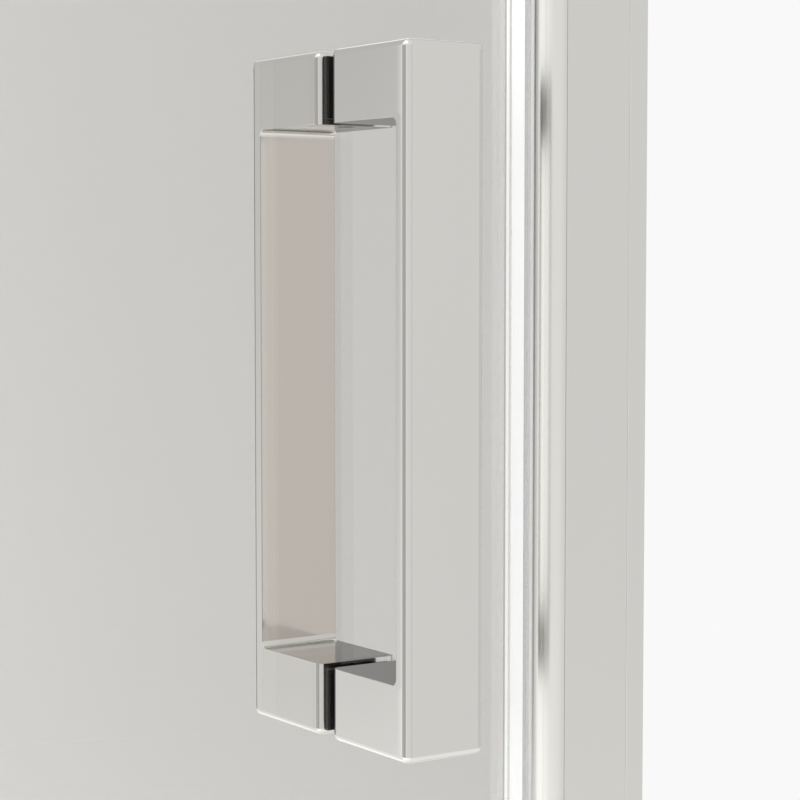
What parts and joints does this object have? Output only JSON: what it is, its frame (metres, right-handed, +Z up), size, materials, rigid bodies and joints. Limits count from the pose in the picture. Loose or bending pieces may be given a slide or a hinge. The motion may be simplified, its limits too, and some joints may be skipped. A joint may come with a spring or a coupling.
{
  "type": "corner shower enclosure",
  "caption": "Glass shower enclosure for a corner: a hinged door with a back-to-back pull handle, an upright corner post and a fixed side panel.",
  "frame": {"origin": "on the floor, in the middle of the whole outline, outer handle included", "axes": "+X along the door from the hinge wall to the corner post, +Y from the door into the shower, +Z up"},
  "size_m": [0.914, 0.9492, 1.829],
  "materials": {
    "profile_metal": "satin nickel anodised extrusion",
    "handle_metal": "satin nickel",
    "hinge_metal": "satin nickel",
    "screw_steel": "plain stainless",
    "clear_glass": "polished, clear",
    "clear_vinyl": "clear flexible vinyl",
    "white_strip": "white bonding strip",
    "magnet_strip": "flexible magnet in pale grey vinyl",
    "black_rubber": "soft black",
    "grey_plastic": "moulded, matched to the metal",
    "bearing_plastic": "low friction"
  },
  "bodies": {
    "frame": {"bracket_screws": "screw_steel", "corner_cover": "profile_metal", "corner_post": "profile_metal", "corner_post_cap": "grey_plastic", "front_channel_cap": "grey_plastic", "header_brackets": "profile_metal", "header_rail": "profile_metal", "hinge_jamb": "profile_metal", "jamb_screw_caps": "grey_plastic", "jamb_screws": "screw_steel", "lower_hinge_bracket": "hinge_metal", "lower_hinge_bracket_screws": "screw_steel", "lower_hinge_bushes": "bearing_plastic", "post_magnet_strip": "magnet_strip", "setting_blocks": "grey_plastic", "side_bottom_rail": "profile_metal", "side_channel_cap": "grey_plastic", "side_glass": "clear_glass", "side_glass_inner_gaskets": "black_rubber", "side_glass_outer_gaskets": "black_rubber", "side_jamb": "profile_metal", "side_rail_brackets": "profile_metal", "side_top_rail": "profile_metal", "threshold_brackets": "profile_metal", "threshold_rail": "profile_metal", "upper_hinge_bracket": "hinge_metal", "upper_hinge_bracket_screws": "screw_steel", "upper_hinge_bushes": "bearing_plastic", "wall_channel_front": "profile_metal", "wall_channel_side": "profile_metal"},
    "door": {"door_bottom_seal": "clear_vinyl", "door_glass": "clear_glass", "door_hinge_seal": "clear_vinyl", "door_magnet": "magnet_strip", "door_magnet_seal": "clear_vinyl", "handle_gaskets": "black_rubber", "handle_set_screws": "screw_steel", "handle_sleeves": "bearing_plastic", "handle_studs": "screw_steel", "inner_handle": "handle_metal", "lower_hinge_core": "hinge_metal", "lower_hinge_inner_plate": "hinge_metal", "lower_hinge_outer_plate": "hinge_metal", "lower_hinge_pads": "black_rubber", "lower_hinge_pin": "screw_steel", "lower_hinge_plate_screws": "screw_steel", "outer_handle": "handle_metal", "seal_bond_strip": "white_strip", "upper_hinge_core": "hinge_metal", "upper_hinge_inner_plate": "hinge_metal", "upper_hinge_outer_plate": "hinge_metal", "upper_hinge_pads": "black_rubber", "upper_hinge_pin": "screw_steel", "upper_hinge_plate_screws": "screw_steel"}
  },
  "joints": [
    {"name": "door_hinge", "type": "hinge", "parent": "frame", "child": "door", "pos_m": [-0.401, -0.4314, 0.9135], "axis": [0, 0, -1], "range_deg": [0, 90]}
  ]
}
